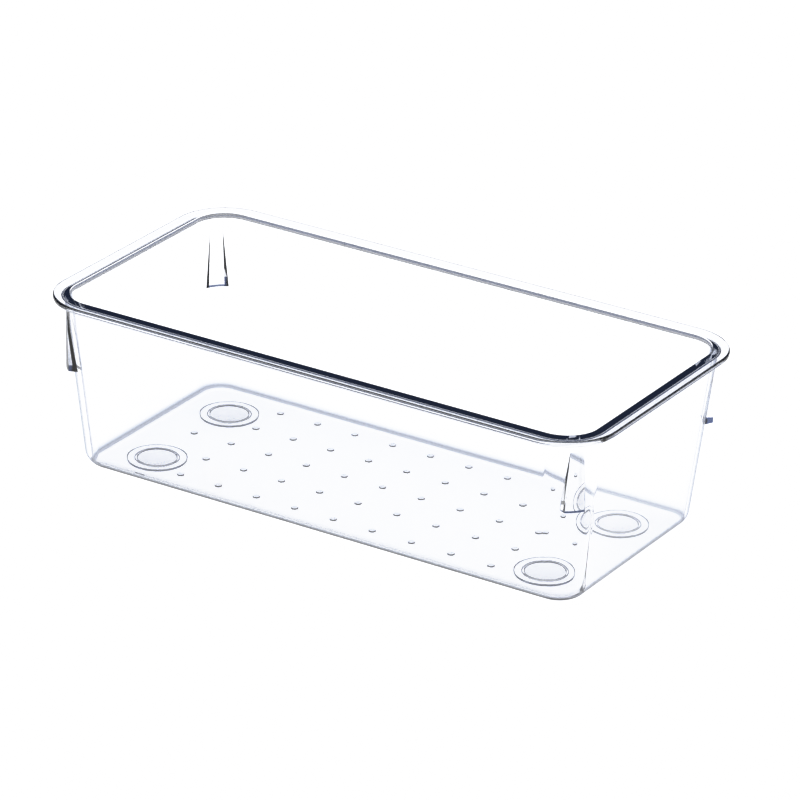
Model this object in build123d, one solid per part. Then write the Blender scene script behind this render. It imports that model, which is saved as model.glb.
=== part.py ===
"""Clear fridge bin: a one-piece moulded tray with a flanged rim, four corner lugs and four pad feet.

Millimetres, +Z up, +X along the bin. The origin is at the middle of the footprint, on the plane
that the foot pads stand on.
"""
from build123d import *
import math
import os

# Driving dimensions: outside of the rim flange, and the height from the standing plane to the rim.
LENGTH = 240.0
WIDTH = 121.0
HEIGHT = 72.6

# Moulding: wall and floor thickness, draft, and the corners seen from above.
WALL = 2.4
DRAFT_ENDS = 5.4
DRAFT_SIDES = 6.85
RIM_CORNER_R = 15.5
BASE_CORNER_R = 11.3
BASE_OUTER_FILLET = 6.6
BASE_INNER_FILLET = 2.0
RIM_INNER_EDGE_R = 0.5

# Rim flange, which stands out all round the top of the wall.
FLANGE_OVERHANG = 4.6
FLANGE_THICKNESS = 2.1
FLANGE_CORNER_R = 21.5
FLANGE_EDGE_R = 0.8
FLANGE_ROOT_R = 1.4

# Foot rings under the floor, and the pads that they hold.
FOOT_X = 85.7
FOOT_Y = 24.6
RING_OUTER_D = 23.0
RING_INNER_D = 16.8
RING_HEIGHT = 1.0
RING_EDGE_R = 0.35
PAD_D = 15.4
PAD_THICKNESS = 1.8
PAD_EDGE_R = 0.45

# Wedge lugs outside the corners, which catch on the rim of a bin below in a stack.
LUG_BOTTOM_Z = 42.6
LUG_BOTTOM_WIDTH = 11.2
LUG_MIDDLE_WIDTH = 10.2
LUG_TOP_WIDTH = 8.8
LUG_SIDE_DRAFT = 20.0
LUG_BOTTOM_STAND_OUT = 2.8
LUG_TOP_STAND_OUT = -0.5
LUG_ROOT_INSET_X = 8.4
LUG_ROOT_INSET_Y = 9.6
LUG_REACH = 9.0
LUG_TRIM = 4.0

# Raised dots on the floor: rows of dots, with one more dot at each end of the middle row.
DOT_PITCH = 17.1
DOT_COLUMNS = 9
DOT_ROWS = 5
DOT_D = 2.8
DOT_RISE = 0.4
DOT_EDGE_R = 0.2

FLOOR_UNDERSIDE = PAD_THICKNESS
FLOOR_TOP = FLOOR_UNDERSIDE + WALL
FLANGE_UNDERSIDE = HEIGHT - FLANGE_THICKNESS
RIM_LENGTH = LENGTH - 2 * FLANGE_OVERHANG
RIM_WIDTH = WIDTH - 2 * FLANGE_OVERHANG
OVERLAP = 0.5


def wall_section(z, stand_out=0.0):
    """The outline of the wall's outer face at height z, moved outwards by stand_out."""
    below_rim = HEIGHT - z
    inset_ends = below_rim * math.tan(math.radians(DRAFT_ENDS)) - stand_out
    inset_sides = below_rim * math.tan(math.radians(DRAFT_SIDES)) - stand_out
    share = below_rim / (HEIGHT - FLOOR_UNDERSIDE)
    radius = RIM_CORNER_R + (BASE_CORNER_R - RIM_CORNER_R) * share + stand_out
    section_length, section_width = RIM_LENGTH - 2 * inset_ends, RIM_WIDTH - 2 * inset_sides
    return Pos(0, 0, z) * RectangleRounded(section_length, section_width, radius)


def drafted_block(low, high, stand_out, base_fillet):
    """A block between two heights of the drafted wall, rounded around its base."""
    block = loft([wall_section(low, stand_out), wall_section(high, stand_out)])
    return fillet(block.faces().sort_by(Axis.Z)[0].edges(), base_fillet)


def flanged_block():
    """The outside of the tray, solid, with the rim flange and the fillet under it."""
    outline = Pos(0, 0, FLANGE_UNDERSIDE) * RectangleRounded(LENGTH, WIDTH, FLANGE_CORNER_R)
    plate = extrude(outline, FLANGE_THICKNESS)
    faces = plate.faces().sort_by(Axis.Z)
    plate = fillet(faces[0].edges() + faces[-1].edges(), FLANGE_EDGE_R)
    block = drafted_block(FLOOR_UNDERSIDE, HEIGHT, 0, BASE_OUTER_FILLET) + plate
    flat_faces = block.faces().filter_by(Axis.Z).sort_by(Axis.Z)
    root = flat_faces[1].inner_wires()[0]
    return fillet(root.edges(), FLANGE_ROOT_R)


def lug_outline():
    """A lug's root seen square on, as a face whose Y runs up the bin: an arch, wider at its foot."""
    top_z = FLANGE_UNDERSIDE + OVERLAP
    foot_z = LUG_BOTTOM_Z - LUG_TRIM
    middle_z = (foot_z + top_z) / 2
    bottom, middle, top = LUG_BOTTOM_WIDTH / 2, LUG_MIDDLE_WIDTH / 2, LUG_TOP_WIDTH / 2
    left = ThreePointArc((-bottom, foot_z), (-middle, middle_z), (-top, top_z))
    right = ThreePointArc((top, top_z), (middle, middle_z), (bottom, foot_z))
    crown = Line(left @ 1, right @ 0)
    foot = Line(right @ 1, left @ 0)
    return make_face([left, crown, right, foot])


def corner_lugs():
    """The four lugs: each grows out of the wall under the flange, thicker down to its flat foot."""
    envelope = loft(
        [
            wall_section(LUG_BOTTOM_Z, LUG_BOTTOM_STAND_OUT),
            wall_section(FLANGE_UNDERSIDE + OVERLAP, LUG_TOP_STAND_OUT),
        ]
    )
    root_x = RIM_LENGTH / 2 - LUG_ROOT_INSET_X
    root_y = RIM_WIDTH / 2 - LUG_ROOT_INSET_Y
    lugs = []
    for sign_x in (-1, 1):
        for sign_y in (-1, 1):
            corner = Plane(
                origin=(sign_x * root_x, sign_y * root_y, 0),
                x_dir=(-sign_y, sign_x, 0),
                z_dir=(sign_x, sign_y, 0),
            )
            wedge = extrude(corner * lug_outline(), LUG_REACH, taper=LUG_SIDE_DRAFT)
            lugs.append(wedge & envelope)
    return lugs


def foot_places():
    """The centre of each foot in plan, with the words for its corner."""
    for end, sign_x in (("left", -1), ("right", 1)):
        for side, sign_y in (("front", -1), ("rear", 1)):
            yield f"{side}_{end}", sign_x * FOOT_X, sign_y * FOOT_Y


def foot_ring():
    """The raised ring around one foot, standing on the origin and rooted in the floor."""
    ring_top = RING_HEIGHT + OVERLAP
    band = Circle(RING_OUTER_D / 2) - Circle(RING_INNER_D / 2)
    ring = extrude(band, ring_top)
    return fillet(ring.faces().sort_by(Axis.Z)[0].edges(), RING_EDGE_R)


def foot_pad():
    """The round silicone pad of one foot, standing on the origin."""
    disc = extrude(Circle(PAD_D / 2), PAD_THICKNESS)
    return fillet(disc.faces().sort_by(Axis.Z)[0].edges(), PAD_EDGE_R)


def floor_dot():
    """One low round dot, with its foot a little below Z = 0 so that it roots in the floor."""
    disc = Pos(0, 0, -OVERLAP) * extrude(Circle(DOT_D / 2), OVERLAP + DOT_RISE)
    return fillet(disc.faces().sort_by(Axis.Z)[-1].edges(), DOT_EDGE_R)


def dot_places():
    """The centre of each dot in plan."""
    last_row = DOT_ROWS // 2
    for row in range(-last_row, last_row + 1):
        last_column = DOT_COLUMNS // 2 + (1 if row == 0 else 0)
        for column in range(-last_column, last_column + 1):
            yield column * DOT_PITCH, row * DOT_PITCH


def bin_body():
    """The moulded tray, with its flange, lugs, foot rings and floor dots."""
    inside = drafted_block(FLOOR_TOP, HEIGHT, -WALL, BASE_INNER_FILLET)
    tray = flanged_block() + corner_lugs() - inside
    opening = tray.faces().sort_by(Axis.Z)[-1].inner_wires()[0]
    tray = fillet(opening.edges(), RIM_INNER_EDGE_R)
    ring, dot = foot_ring(), floor_dot()
    ring_z = FLOOR_UNDERSIDE - RING_HEIGHT
    rings = [Pos(x, y, ring_z) * ring for _, x, y in foot_places()]
    dots = [Pos(x, y, FLOOR_TOP) * dot for x, y in dot_places()]
    return tray + rings + dots


os.makedirs("parts", exist_ok=True)
export_step(bin_body(), "parts/bin_body.step")
for corner_name, pad_x, pad_y in foot_places():
    export_step(Pos(pad_x, pad_y, 0) * foot_pad(), f"parts/foot_pad_{corner_name}.step")
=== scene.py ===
import math

import bmesh
import bpy
from mathutils import Matrix, Vector


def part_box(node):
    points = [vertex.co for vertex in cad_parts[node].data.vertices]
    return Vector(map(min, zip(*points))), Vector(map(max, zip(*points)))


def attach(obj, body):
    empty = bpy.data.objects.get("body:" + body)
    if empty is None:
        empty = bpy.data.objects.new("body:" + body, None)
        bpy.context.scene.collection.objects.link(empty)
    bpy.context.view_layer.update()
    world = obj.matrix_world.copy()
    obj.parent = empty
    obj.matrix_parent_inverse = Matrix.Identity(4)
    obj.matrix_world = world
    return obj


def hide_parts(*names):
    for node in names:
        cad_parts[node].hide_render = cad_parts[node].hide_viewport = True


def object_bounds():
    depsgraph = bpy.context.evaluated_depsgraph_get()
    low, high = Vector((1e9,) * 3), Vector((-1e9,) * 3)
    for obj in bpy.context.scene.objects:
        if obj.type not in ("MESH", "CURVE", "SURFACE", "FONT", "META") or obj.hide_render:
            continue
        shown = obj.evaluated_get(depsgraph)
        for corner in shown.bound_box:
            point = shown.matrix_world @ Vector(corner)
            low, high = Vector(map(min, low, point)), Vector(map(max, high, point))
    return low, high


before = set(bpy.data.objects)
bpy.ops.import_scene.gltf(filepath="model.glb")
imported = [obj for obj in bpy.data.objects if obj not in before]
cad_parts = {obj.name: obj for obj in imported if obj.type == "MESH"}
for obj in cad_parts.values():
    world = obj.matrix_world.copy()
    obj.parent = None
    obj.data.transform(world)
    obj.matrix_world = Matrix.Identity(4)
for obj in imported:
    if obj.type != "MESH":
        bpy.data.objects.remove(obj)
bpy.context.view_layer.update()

# Camera: where it stands round the bin, and how it frames it.
CAMERA_AZIMUTH = 31.50
CAMERA_ELEVATION = 24.09
CAMERA_ROLL = 1.57
CAMERA_DISTANCE = 2.00427
CAMERA_ACROSS = 0.006040
CAMERA_UP = 0.036185
SENSOR_MM = 36.0
LENS_MM = 239.731

# The tray, in metres. Its outer size, its underside and its feet are read from the CAD nodes.
BODY_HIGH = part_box("bin_body")[1]
PAD_LOW, PAD_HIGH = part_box("foot_pad_rear_right")
RIM_Z = BODY_HIGH.z
HALF_X = BODY_HIGH.x
HALF_Y = BODY_HIGH.y
UNDERSIDE_Z = PAD_HIGH.z
FOOT_X = (PAD_LOW.x + PAD_HIGH.x) / 2
FOOT_Y = (PAD_LOW.y + PAD_HIGH.y) / 2

# The tray's moulding, in metres and degrees: wall, flange, draft, corner radii and roundings.
WALL = 0.0024
FLOOR_Z = UNDERSIDE_Z + WALL
FLANGE_OVERHANG = 0.0046
FLANGE_THICKNESS = 0.0021
FLANGE_LOW_Z = RIM_Z - FLANGE_THICKNESS
FLANGE_CORNER_R = 0.0215
FLANGE_EDGE_R = 0.0008
FLANGE_ROOT_R = 0.0014
RIM_HALF_X = HALF_X - FLANGE_OVERHANG
RIM_HALF_Y = HALF_Y - FLANGE_OVERHANG
DRAFT_ENDS = 5.4
DRAFT_SIDES = 6.85
RIM_CORNER_R = 0.0155
BASE_CORNER_R = 0.0113
OUTER_BASE_R = 0.0066
INNER_BASE_R = 0.0020
RIM_INNER_R = 0.0005

# Foot rings, floor dots and corner lugs, in metres. ROOTED is how far a detail reaches into the floor.
RING_OUTER_R = 0.0115
RING_INNER_R = 0.0084
RING_HEIGHT = 0.0010
RING_EDGE_R = 0.00035
ROOTED = 0.0005
DOT_PITCH = 0.0171
DOT_COLUMNS = 9
DOT_ROWS = 5
DOT_R = 0.0014
DOT_RISE = 0.0004
DOT_EDGE_R = 0.0002
LUG_ROOT_Z = 0.0386
LUG_FOOT_Z = 0.0426
LUG_TOP_Z = 0.0690
LUG_FOOT_OUT = 0.0028
LUG_TOP_OUT = -0.00027
LUG_HALF_LOW = 0.0056
LUG_HALF_HIGH = 0.0044
LUG_SIDE_DRAFT = 20.0
LUG_ROOT_INSET_X = 0.0084
LUG_ROOT_INSET_Y = 0.0096

# How finely the tray is divided, how often a lug's side is worked out again, and from which angle
# between two faces, in degrees, their edge is sharp.
CORNER_STEPS = 28
BASE_STEPS = 12
WALL_STEPS = 10
EDGE_STEPS = 6
TURNS = 96
LUG_LEVELS = 20
LUG_COLUMNS = 14
LUG_PASSES = 8
SHARP_ANGLE = 32
PAD_SHARP_ANGLE = 50

# Clear plastic: refraction, absorption, and the size, roughness and relief of its flow marks.
PLASTIC_IOR = 1.57
ABSORB_COLOUR = (0.5, 0.53, 0.59, 1)
ABSORB_DENSITY = 42.0
FLOW_SCALE = 35.0
FLOW_DETAIL = 2.0
FLOW_ROUGHNESS = (0.0, 0.012)
FLOW_RELIEF = (0.0004, 0.05)

# Clear silicone: refraction, and the size, roughness, relief and tint of its grain.
SILICONE_IOR = 1.41
GRAIN_SCALE = 900.0
GRAIN_DETAIL = 4.0
GRAIN_ROUGHNESS = (0.02, 0.12)
GRAIN_RELIEF = (0.0002, 0.08)
SILICONE_CLOUD = ((0.3, (0.93, 0.94, 0.96, 1)), (0.7, (0.99, 0.99, 1.0, 1)))

# Sky: its colour against the sine of the elevation. It is dark near the horizon and white overhead.
HORIZON = (
    (0.0, (0.03, 0.04, 0.075, 1)),
    (0.28, (0.1, 0.14, 0.28, 1)),
    (0.42, (0.3, 0.42, 0.85, 1)),
    (0.60, (1.0, 1.0, 1.0, 1)),
)
SKY_STRENGTH = 0.4

# Table: its size and how far it lies under the bin, in metres, its colour, and its even glow.
TABLE_SIZE = 12.0
TABLE_DROP = 0.0002
TABLE_COLOUR = (0.9, 0.9, 0.9, 1)
TABLE_ROUGHNESS = 0.9
TABLE_GLOW = 0.9

# Foot pads: edge rounding, and how far the pad reaches into the plastic, in metres.
PAD_EDGE_R = 0.00045
PAD_BOND = 0.00005

# Picture contrast: points of the tone curve, as shown brightness against scene brightness.
TONE_CURVE = ((0.0, 0.0), (0.2, 0.18), (0.5, 0.54), (0.7, 0.87), (0.82, 0.97), (1.0, 1.0))

# Clear plastic: painted shade against how edge-on a surface is seen, its colour darker the more edge-on it
# turns.
# Surfaces as level as LEVEL_FROM (1 is flat, 0 upright) are left out.
LEVEL_FROM = 0.93
EDGE_PAINTED_SHADE = (
    (0.45, (0.99, 0.992, 0.996, 1)),
    (0.60, (0.985, 0.986, 0.99, 1)),
    (0.66, (0.42, 0.44, 0.50, 1)),
    (0.76, (0.12, 0.14, 0.20, 1)),
    (1.0, (0.01, 0.015, 0.03, 1)),
)

# The same plastic round its base, below ROUND_TOP_Z in metres: painted shade against its slope, where 0
# faces down and
# 1 faces up.
ROUND_PAINTED_SHADE = (
    (0.015, (1.0, 1.0, 1.0, 1)),
    (0.045, (0.30, 0.32, 0.37, 1)),
    (0.12, (0.13, 0.15, 0.20, 1)),
    (0.20, (0.66, 0.68, 0.72, 1)),
    (0.40, (1.0, 1.0, 1.0, 1)),
    (0.58, (1.0, 1.0, 1.0, 1)),
    (0.85, (0.82, 0.84, 0.88, 1)),
    (0.995, (1.0, 1.0, 1.0, 1)),
)
ROUND_TOP_Z = 0.02

# The floor dots: painted shade, from 0 off the dots and 0.1 on their flat tops to 1 on their upright
# edges.
# The painted shade starts DOT_CLEAR above the floor, in metres, so that the floor itself stays clear.
DOT_PAINTED_SHADE = (
    (0.04, (1.0, 1.0, 1.0, 1)),
    (0.09, (0.66, 0.68, 0.72, 1)),
    (0.115, (0.66, 0.68, 0.72, 1)),
    (0.13, (1.0, 1.0, 1.0, 1)),
    (0.45, (1.0, 1.0, 1.0, 1)),
    (1.0, (0.16, 0.18, 0.23, 1)),
)
DOT_TOP_SHARE = 0.9
DOT_CLEAR = 0.00004


def make_camera():
    """A long lens that looks down on the bin from the front right."""
    low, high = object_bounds()
    foot = Vector(((low.x + high.x) / 2, (low.y + high.y) / 2, low.z))
    az, el, roll = (math.radians(a) for a in (CAMERA_AZIMUTH, CAMERA_ELEVATION, CAMERA_ROLL))
    back = Vector((math.sin(az) * math.cos(el), -math.cos(az) * math.cos(el), math.sin(el)))
    across = Vector((math.cos(az), math.sin(az), 0.0))
    up = back.cross(across)
    across_rolled = across * math.cos(roll) + up * math.sin(roll)
    up_rolled = up * math.cos(roll) - across * math.sin(roll)
    data = bpy.data.cameras.new("camera")
    data.sensor_width = SENSOR_MM
    data.lens = LENS_MM
    data.clip_start, data.clip_end = 0.1, 20.0
    camera = bpy.data.objects.new("camera", data)
    bpy.context.scene.collection.objects.link(camera)
    place = foot + back * CAMERA_DISTANCE + across_rolled * CAMERA_ACROSS + up_rolled * CAMERA_UP
    axes = Matrix((across_rolled, up_rolled, back)).transposed().to_4x4()
    camera.matrix_world = Matrix.Translation(place) @ axes
    bpy.context.scene.camera = camera


def node_of(tree, kind, **values):
    """A new node of this kind, with its settings."""
    made = tree.nodes.new(kind)
    for name, value in values.items():
        setattr(made, name, value)
    return made


def add_z(tree, source):
    """The Z part of a vector."""
    split = node_of(tree, "ShaderNodeSeparateXYZ")
    tree.links.new(source, split.inputs[0])
    return split.outputs["Z"]


def add_math(tree, operation, *values):
    """A maths node. Each value is a number or the output of another node."""
    made = node_of(tree, "ShaderNodeMath", operation=operation)
    for socket, value in zip(made.inputs, values):
        if isinstance(value, bpy.types.NodeSocket):
            tree.links.new(value, socket)
        else:
            socket.default_value = value
    return made.outputs[0]


def add_noise(tree, scale, detail):
    """Noise laid through the solid."""
    coords = node_of(tree, "ShaderNodeTexCoord")
    noise = node_of(tree, "ShaderNodeTexNoise")
    noise.inputs["Scale"].default_value = scale
    noise.inputs["Detail"].default_value = detail
    tree.links.new(coords.outputs["Object"], noise.inputs["Vector"])
    return noise


def add_range(tree, source, low, high):
    """A value between 0 and 1, spread from low to high."""
    spread = node_of(tree, "ShaderNodeMapRange")
    spread.inputs["To Min"].default_value = low
    spread.inputs["To Max"].default_value = high
    tree.links.new(source, spread.inputs["Value"])
    return spread.outputs["Result"]


def add_bump(tree, source, distance, strength):
    """A bumped normal, from a height between 0 and 1."""
    bump = node_of(tree, "ShaderNodeBump")
    bump.inputs["Distance"].default_value = distance
    bump.inputs["Strength"].default_value = strength
    tree.links.new(source, bump.inputs["Height"])
    return bump.outputs["Normal"]


def add_ramp(tree, source, stops):
    """A colour that follows a value through stops of position and colour."""
    ramp = node_of(tree, "ShaderNodeValToRGB")
    elements = ramp.color_ramp.elements
    elements[0].position, elements[0].color = stops[0]
    elements[1].position, elements[1].color = stops[-1]
    for position, colour in stops[1:-1]:
        elements.new(position).color = colour
    tree.links.new(source, ramp.inputs[0])
    return ramp.outputs[0]


def make_world():
    """A soft white sky that darkens towards the horizon."""
    world = bpy.data.worlds.new("studio")
    bpy.context.scene.world = world
    world.use_nodes = True
    tree = world.node_tree
    tree.nodes.clear()
    coords = node_of(tree, "ShaderNodeTexCoord")
    sky = node_of(tree, "ShaderNodeBackground")
    out = node_of(tree, "ShaderNodeOutputWorld")
    height = add_z(tree, coords.outputs["Generated"])
    tree.links.new(add_ramp(tree, height, HORIZON), sky.inputs[0])
    tree.links.new(sky.outputs[0], out.inputs[0])
    sky.inputs["Strength"].default_value = SKY_STRENGTH


def make_floor():
    """A wide white table that glows evenly and shows no shadow."""
    bpy.ops.mesh.primitive_plane_add(size=TABLE_SIZE, location=(0, 0, -TABLE_DROP))
    floor = bpy.context.object
    floor.name = "studio_floor"
    mat = bpy.data.materials.new("studio_floor")
    mat.use_nodes = True
    bsdf = mat.node_tree.nodes["Principled BSDF"]
    bsdf.inputs["Base Color"].default_value = TABLE_COLOUR
    bsdf.inputs["Roughness"].default_value = TABLE_ROUGHNESS
    bsdf.inputs["Specular IOR Level"].default_value = 0.0
    bsdf.inputs["Emission Color"].default_value = (1.0, 1.0, 1.0, 1)
    bsdf.inputs["Emission Strength"].default_value = TABLE_GLOW
    floor.data.materials.append(mat)


def set_tones():
    """The tone curve of the picture."""
    view = bpy.context.scene.view_settings
    view.view_transform = "Standard"
    view.use_curve_mapping = True
    curve = view.curve_mapping.curves[3]
    curve.points[0].location = TONE_CURVE[0]
    curve.points[1].location = TONE_CURVE[-1]
    for shade in TONE_CURVE[1:-1]:
        curve.points.new(*shade)
    view.curve_mapping.update()


def add_height(tree):
    """The height above the plane that the bin stands on."""
    return add_z(tree, node_of(tree, "ShaderNodeTexCoord").outputs["Object"])


def add_level(tree):
    """How level a surface is: 1 on the flat, facing up or down, and 0 on an upright."""
    surface = node_of(tree, "ShaderNodeNewGeometry")
    return add_math(tree, "ABSOLUTE", add_z(tree, surface.outputs["Normal"]))


def add_slope(tree):
    """The slope of the outside of the base: 0 faces down, 0.5 is upright, as is all above ROUND_TOP_Z."""
    surface = node_of(tree, "ShaderNodeNewGeometry")
    side = add_range(tree, surface.outputs["Backfacing"], 1.0, -1.0)
    signed = add_math(tree, "MULTIPLY", add_z(tree, surface.outputs["Normal"]), side)
    low = add_math(tree, "LESS_THAN", add_height(tree), ROUND_TOP_Z)
    slope = node_of(tree, "ShaderNodeMapRange")
    slope.inputs["From Min"].default_value = -1.0
    tree.links.new(add_math(tree, "MULTIPLY", signed, low), slope.inputs["Value"])
    return slope.outputs["Result"]


def add_upright(tree):
    """One on surfaces that stand or slope, and zero on level ones such as the floor."""
    return add_math(tree, "LESS_THAN", add_level(tree), LEVEL_FROM)


def add_dot_level(tree):
    """Zero off the floor dots, and on them from 0.1 on their flat tops to 1 on their upright edges."""
    upright = add_math(tree, "MULTIPLY_ADD", add_level(tree), -DOT_TOP_SHARE, 1.0)
    middle_z = FLOOR_Z + DOT_CLEAR + DOT_RISE / 2
    band = add_math(tree, "COMPARE", add_height(tree), middle_z, DOT_RISE / 2)
    return add_math(tree, "MULTIPLY", upright, band)


def add_painted_shade(tree, *colours):
    """The painted shade, as the product of several colours."""
    painted_shade = colours[0]
    for colour in colours[1:]:
        product = node_of(tree, "ShaderNodeVectorMath", operation="MULTIPLY")
        tree.links.new(painted_shade, product.inputs[0])
        tree.links.new(colour, product.inputs[1])
        painted_shade = product.outputs[0]
    return painted_shade


def clear_plastic():
    """Clear moulded plastic, with painted shade where it is seen edge-on, round its base and on its floor
    dots.
    """
    mat = bpy.data.materials.new("clear_plastic")
    mat.use_nodes = True
    tree = mat.node_tree
    bsdf = tree.nodes["Principled BSDF"]
    bsdf.inputs["IOR"].default_value = PLASTIC_IOR
    bsdf.inputs["Transmission Weight"].default_value = 1.0
    # Painted shade: the colour is darkened where a standing face is seen edge-on.
    edge_on = node_of(tree, "ShaderNodeLayerWeight")
    edge_on.inputs["Blend"].default_value = 0.5
    edges = add_math(tree, "MULTIPLY", edge_on.outputs["Facing"], add_upright(tree))
    # Painted shade: the colour is darkened at edge-on faces, round the base and on the floor dots.
    painted_shade = add_painted_shade(
        tree,
        add_ramp(tree, edges, EDGE_PAINTED_SHADE),
        add_ramp(tree, add_slope(tree), ROUND_PAINTED_SHADE),
        add_ramp(tree, add_dot_level(tree), DOT_PAINTED_SHADE),
    )
    tree.links.new(painted_shade, bsdf.inputs["Base Color"])
    flow = add_noise(tree, FLOW_SCALE, FLOW_DETAIL)
    tree.links.new(add_range(tree, flow.outputs["Fac"], *FLOW_ROUGHNESS), bsdf.inputs["Roughness"])
    tree.links.new(add_bump(tree, flow.outputs["Fac"], *FLOW_RELIEF), bsdf.inputs["Normal"])
    absorb = node_of(tree, "ShaderNodeVolumeAbsorption")
    absorb.inputs["Color"].default_value = ABSORB_COLOUR
    absorb.inputs["Density"].default_value = ABSORB_DENSITY
    tree.links.new(absorb.outputs[0], tree.nodes["Material Output"].inputs["Volume"])
    return mat


def clear_silicone():
    """Clear silicone, a little cloudy."""
    mat = bpy.data.materials.new("clear_silicone")
    mat.use_nodes = True
    tree = mat.node_tree
    bsdf = tree.nodes["Principled BSDF"]
    bsdf.inputs["IOR"].default_value = SILICONE_IOR
    bsdf.inputs["Transmission Weight"].default_value = 1.0
    grain = add_noise(tree, GRAIN_SCALE, GRAIN_DETAIL)
    cloud = add_ramp(tree, grain.outputs["Fac"], SILICONE_CLOUD)
    tree.links.new(cloud, bsdf.inputs["Base Color"])
    tree.links.new(add_range(tree, grain.outputs["Fac"], *GRAIN_ROUGHNESS), bsdf.inputs["Roughness"])
    tree.links.new(add_bump(tree, grain.outputs["Fac"], *GRAIN_RELIEF), bsdf.inputs["Normal"])
    return mat


def leaning_inset(z, draft):
    """How far the wall's outer face has moved in from the rim's wall line at height z."""
    return (RIM_Z - z) * math.tan(math.radians(draft))


def rounded_out(z, floor_z, radius, draft):
    """How far a rounding from a wall to a floor at floor_z pulls the wall in at height z."""
    lean = math.radians(draft)
    centre_z = floor_z + radius
    if z >= centre_z - radius * math.sin(lean):
        return 0.0
    reach = math.sqrt(max(0.0, radius**2 - (centre_z - z) ** 2))
    centre_in = leaning_inset(centre_z, draft) + radius / math.cos(lean)
    return centre_in - reach - leaning_inset(z, draft)


def outline(half_x, half_y, radius, z):
    """A rounded rectangle at height z, as a ring of points."""
    points = []
    for turn, (sign_x, sign_y) in enumerate(((1, 1), (-1, 1), (-1, -1), (1, -1))):
        for step in range(CORNER_STEPS + 1):
            angle = math.pi / 2 * (turn + step / CORNER_STEPS)
            x = sign_x * (half_x - radius) + radius * math.cos(angle)
            y = sign_y * (half_y - radius) + radius * math.sin(angle)
            points.append((x, y, z))
    return points


def wall_outline(z, stand_out=0.0, pull_ends=0.0, pull_sides=0.0):
    """The wall's outline at height z, moved out by stand_out and pulled in at the ends and sides."""
    share = (RIM_Z - z) / (RIM_Z - UNDERSIDE_Z)
    radius = RIM_CORNER_R + (BASE_CORNER_R - RIM_CORNER_R) * share + stand_out
    half_x = RIM_HALF_X - leaning_inset(z, DRAFT_ENDS) + stand_out - pull_ends
    half_y = RIM_HALF_Y - leaning_inset(z, DRAFT_SIDES) + stand_out - pull_sides
    return outline(half_x, half_y, radius - (pull_ends + pull_sides) / 2, z)


def based_outline(z, stand_out, floor_z, radius):
    """The wall's outline at height z, rounded into a floor at floor_z."""
    ends = rounded_out(z, floor_z, radius, DRAFT_ENDS)
    sides = rounded_out(z, floor_z, radius, DRAFT_SIDES)
    return wall_outline(z, stand_out, ends, sides)


def base_levels(floor_z, radius):
    """Heights that step evenly round a rounding, from the floor up to the wall."""
    for step in range(BASE_STEPS):
        yield floor_z + radius * (1 - math.cos(math.pi / 2 * step / BASE_STEPS))
    yield floor_z + radius


def shell_rings():
    """The shell's section from the middle of its underside, over the rim, to the middle of its floor."""
    rings = []
    for z in base_levels(UNDERSIDE_Z, OUTER_BASE_R):
        rings.append(based_outline(z, 0.0, UNDERSIDE_Z, OUTER_BASE_R))
    low_z, root_z = UNDERSIDE_Z + OUTER_BASE_R, FLANGE_LOW_Z - FLANGE_ROOT_R
    for step in range(1, WALL_STEPS + 1):
        rings.append(wall_outline(low_z + (root_z - low_z) * step / WALL_STEPS))
    for step in range(1, EDGE_STEPS + 1):
        angle = math.pi / 2 * step / EDGE_STEPS
        out = FLANGE_ROOT_R * (1 - math.cos(angle))
        rings.append(wall_outline(root_z + FLANGE_ROOT_R * math.sin(angle), out))
    lower_z, upper_z = FLANGE_LOW_Z + FLANGE_EDGE_R, RIM_Z - FLANGE_EDGE_R
    for centre_z, first in ((lower_z, -math.pi / 2), (upper_z, 0.0)):
        for step in range(EDGE_STEPS + 1):
            angle = first + math.pi / 2 * step / EDGE_STEPS
            pull = FLANGE_EDGE_R * (1 - math.cos(angle))
            z = centre_z + FLANGE_EDGE_R * math.sin(angle)
            rings.append(outline(HALF_X - pull, HALF_Y - pull, FLANGE_CORNER_R - pull, z))
    for step in range(EDGE_STEPS, -1, -1):
        angle = math.pi / 2 * step / EDGE_STEPS
        out = RIM_INNER_R * (1 - math.cos(angle))
        rings.append(wall_outline(RIM_Z - RIM_INNER_R + RIM_INNER_R * math.sin(angle), out - WALL))
    high_z, floor_top = RIM_Z - RIM_INNER_R, FLOOR_Z + INNER_BASE_R
    for step in range(1, WALL_STEPS):
        rings.append(wall_outline(high_z + (floor_top - high_z) * step / WALL_STEPS, -WALL))
    for z in reversed(list(base_levels(FLOOR_Z, INNER_BASE_R))):
        rings.append(based_outline(z, -WALL, FLOOR_Z, INNER_BASE_R))
    return rings


def add_loft(mesh, rings):
    """Skin a closed solid through rings of points, with a flat face across the first and the last."""
    made = [[mesh.verts.new(point) for point in ring] for ring in rings]
    count = len(made[0])
    for lower, upper in zip(made, made[1:]):
        for k in range(count):
            n = (k + 1) % count
            mesh.faces.new((lower[k], lower[n], upper[n], upper[k]))
    mesh.faces.new(list(reversed(made[0])))
    mesh.faces.new(made[-1])


def circle(x, y, z, radius):
    """A level circle, as a ring of points."""
    points = []
    for k in range(TURNS):
        angle = 2 * math.pi * k / TURNS
        points.append((x + radius * math.cos(angle), y + radius * math.sin(angle), z))
    return points


def add_disc(mesh, x, y, low_z, high_z, radius, edge):
    """A round disc standing on low_z, with its upper edge rounded."""
    rings = [circle(x, y, low_z, radius)]
    for step in range(EDGE_STEPS + 1):
        angle = math.pi / 2 * step / EDGE_STEPS
        rise, reach = edge * math.sin(angle), edge * math.cos(angle)
        rings.append(circle(x, y, high_z - edge + rise, radius - edge + reach))
    add_loft(mesh, rings)


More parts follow.
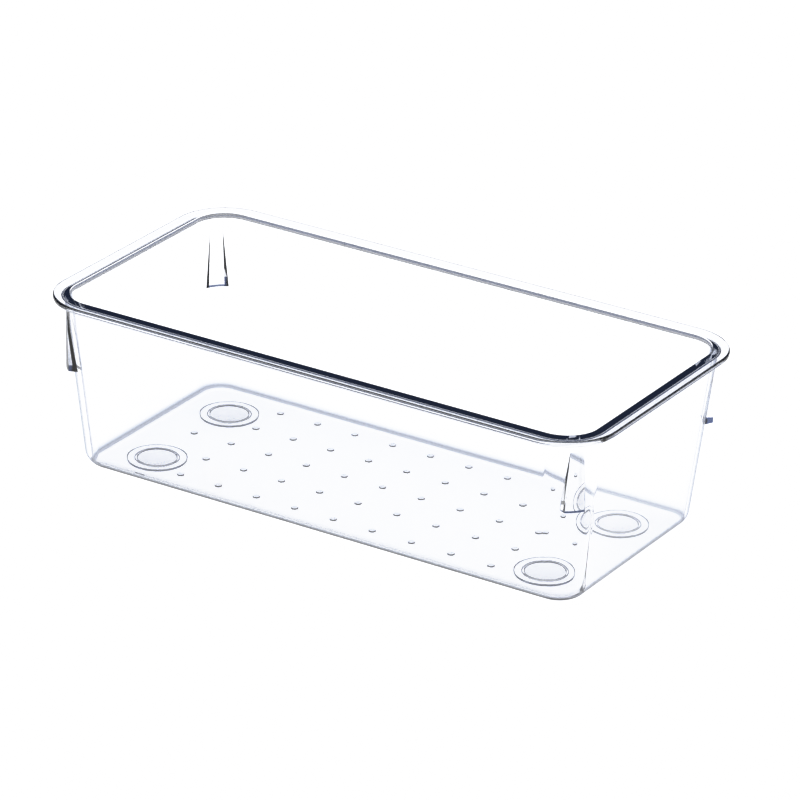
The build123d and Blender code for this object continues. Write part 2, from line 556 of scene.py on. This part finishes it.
def add_foot_ring(mesh, x, y):
    """A raised ring under the floor, rounded at both of its lower edges and rooted in the floor."""
    outer, inner, foot_z = RING_OUTER_R, RING_INNER_R, UNDERSIDE_Z - RING_HEIGHT
    root_z, edge = UNDERSIDE_Z + ROOTED, RING_EDGE_R
    rings = [circle(x, y, root_z, inner)]
    for centre_r, first in ((inner + edge, math.pi), (outer - edge, -math.pi / 2)):
        for step in range(EDGE_STEPS + 1):
            angle = first + math.pi / 2 * step / EDGE_STEPS
            rise, reach = edge * math.sin(angle), edge * math.cos(angle)
            rings.append(circle(x, y, foot_z + edge + rise, centre_r + reach))
    rings.append(circle(x, y, root_z, outer))
    made = [[mesh.verts.new(point) for point in ring] for ring in rings]
    for lower, upper in zip(made, made[1:] + made[:1]):
        for k in range(TURNS):
            n = (k + 1) % TURNS
            mesh.faces.new((lower[k], lower[n], upper[n], upper[k]))


def lug_point(sign_x, sign_y, z, stand_out, across):
    """The point on a corner's wall, moved out by stand_out, at a share of the lug's drafted half width."""
    share = (RIM_Z - z) / (RIM_Z - UNDERSIDE_Z)
    radius = RIM_CORNER_R + (BASE_CORNER_R - RIM_CORNER_R) * share + stand_out
    centre_x = RIM_HALF_X - leaning_inset(z, DRAFT_ENDS) + stand_out - radius
    centre_y = RIM_HALF_Y - leaning_inset(z, DRAFT_SIDES) + stand_out - radius
    rise = (z - LUG_ROOT_Z) / (FLANGE_LOW_Z - LUG_ROOT_Z)
    root_half = LUG_HALF_LOW + (LUG_HALF_HIGH - LUG_HALF_LOW) * rise
    outwards = Vector((1, 1)).normalized()
    sideways = Vector((-1, 1)).normalized()
    start = Vector((RIM_HALF_X - LUG_ROOT_INSET_X - centre_x, RIM_HALF_Y - LUG_ROOT_INSET_Y - centre_y))
    reach = radius
    for _ in range(LUG_PASSES):
        half = root_half - reach * math.tan(math.radians(LUG_SIDE_DRAFT))
        foot = start + sideways * (half * across)
        along = foot.dot(outwards)
        reach = -along + math.sqrt(along**2 - foot.length_squared + radius**2)
    spot = foot + outwards * reach
    return (sign_x * (centre_x + spot.x), sign_y * (centre_y + spot.y), z)


def add_lug(mesh, sign_x, sign_y):
    """A wedge lug over a corner: its outer face stands out most at its flat foot."""
    rings = []
    for level in range(LUG_LEVELS + 1):
        rise = level / LUG_LEVELS
        z = LUG_FOOT_Z + (LUG_TOP_Z - LUG_FOOT_Z) * rise
        stand_out = LUG_FOOT_OUT + (LUG_TOP_OUT - LUG_FOOT_OUT) * rise
        shares = [2 * k / LUG_COLUMNS - 1 for k in range(LUG_COLUMNS + 1)]
        outer = [lug_point(sign_x, sign_y, z, stand_out, share) for share in shares]
        inner = [lug_point(sign_x, sign_y, z, -WALL / 2, share) for share in reversed(shares)]
        rings.append(outer + inner)
    add_loft(mesh, rings)


def dot_places():
    """The centre of each dot in plan."""
    last_row = DOT_ROWS // 2
    for row in range(-last_row, last_row + 1):
        last_column = DOT_COLUMNS // 2 + (1 if row == 0 else 0)
        for column in range(-last_column, last_column + 1):
            yield column * DOT_PITCH, row * DOT_PITCH


def mesh_object(name, mesh):
    """An object of this mesh, with its faces turned outwards."""
    bmesh.ops.recalc_face_normals(mesh, faces=mesh.faces)
    data = bpy.data.meshes.new(name)
    mesh.to_mesh(data)
    mesh.free()
    made = bpy.data.objects.new(name, data)
    bpy.context.scene.collection.objects.link(made)
    return made


def make_body(plastic):
    """The moulded tray as one finely divided solid, for clean refraction."""
    shell = bmesh.new()
    add_loft(shell, shell_rings())
    body = mesh_object("bin_body_clear", shell)
    extras = bmesh.new()
    for sign_x in (-1, 1):
        for sign_y in (-1, 1):
            add_lug(extras, sign_x, sign_y)
            add_foot_ring(extras, sign_x * FOOT_X, sign_y * FOOT_Y)
    for x, y in dot_places():
        add_disc(extras, x, y, FLOOR_Z - ROOTED, FLOOR_Z + DOT_RISE, DOT_R, DOT_EDGE_R)
    details = mesh_object("bin_body_details", extras)
    join = body.modifiers.new("join", "BOOLEAN")
    join.operation, join.solver, join.object = "UNION", "MANIFOLD", details
    graph = bpy.context.evaluated_depsgraph_get()
    joined = bpy.data.meshes.new_from_object(body.evaluated_get(graph))
    body.modifiers.clear()
    body.data = joined
    bpy.data.objects.remove(details)
    for face in joined.polygons:
        face.use_smooth = True
    joined.set_sharp_from_angle(angle=math.radians(SHARP_ANGLE))
    weights = body.modifiers.new("normals", "WEIGHTED_NORMAL")
    weights.keep_sharp, weights.weight = True, 100
    graph = bpy.context.evaluated_depsgraph_get()
    body.data = bpy.data.meshes.new_from_object(body.evaluated_get(graph))
    body.modifiers.clear()
    body.data.materials.clear()
    body.data.materials.append(plastic)
    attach(body, "root")
    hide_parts("bin_body")


def make_pad(node, silicone):
    """A pad like its CAD node, bonded by a hair's depth into the plastic above it."""
    low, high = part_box(node)
    centre, radius = (low + high) / 2, (high.x - low.x) / 2
    profile = [(0.0, low.z)]
    for step in range(EDGE_STEPS + 1):
        angle = math.pi / 2 * step / EDGE_STEPS
        reach, rise = PAD_EDGE_R * math.sin(angle), PAD_EDGE_R * math.cos(angle)
        profile.append((radius - PAD_EDGE_R + reach, low.z + PAD_EDGE_R - rise))
    profile += [(radius, high.z + PAD_BOND), (0.0, high.z + PAD_BOND)]
    mesh = bmesh.new()
    rings = []
    for ring_r, z in profile:
        points = circle(centre.x, centre.y, z, ring_r)
        rings.append([mesh.verts.new(point) for point in (points if ring_r else points[:1])])
    for lower, upper in zip(rings, rings[1:]):
        for k in range(TURNS):
            n = (k + 1) % TURNS
            if len(lower) == 1:
                mesh.faces.new((lower[0], upper[n], upper[k]))
            elif len(upper) == 1:
                mesh.faces.new((lower[k], lower[n], upper[0]))
            else:
                mesh.faces.new((lower[k], lower[n], upper[n], upper[k]))
    pad = mesh_object(node + "_soft", mesh)
    pad.data.materials.append(silicone)
    for face in pad.data.polygons:
        face.use_smooth = True
    pad.data.set_sharp_from_angle(angle=math.radians(PAD_SHARP_ANGLE))
    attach(pad, "root")
    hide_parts(node)


make_camera()
make_world()
make_floor()
set_tones()
plastic, silicone = clear_plastic(), clear_silicone()
make_body(plastic)
for name in sorted(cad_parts):
    if name.startswith("foot_pad"):
        make_pad(name, silicone)
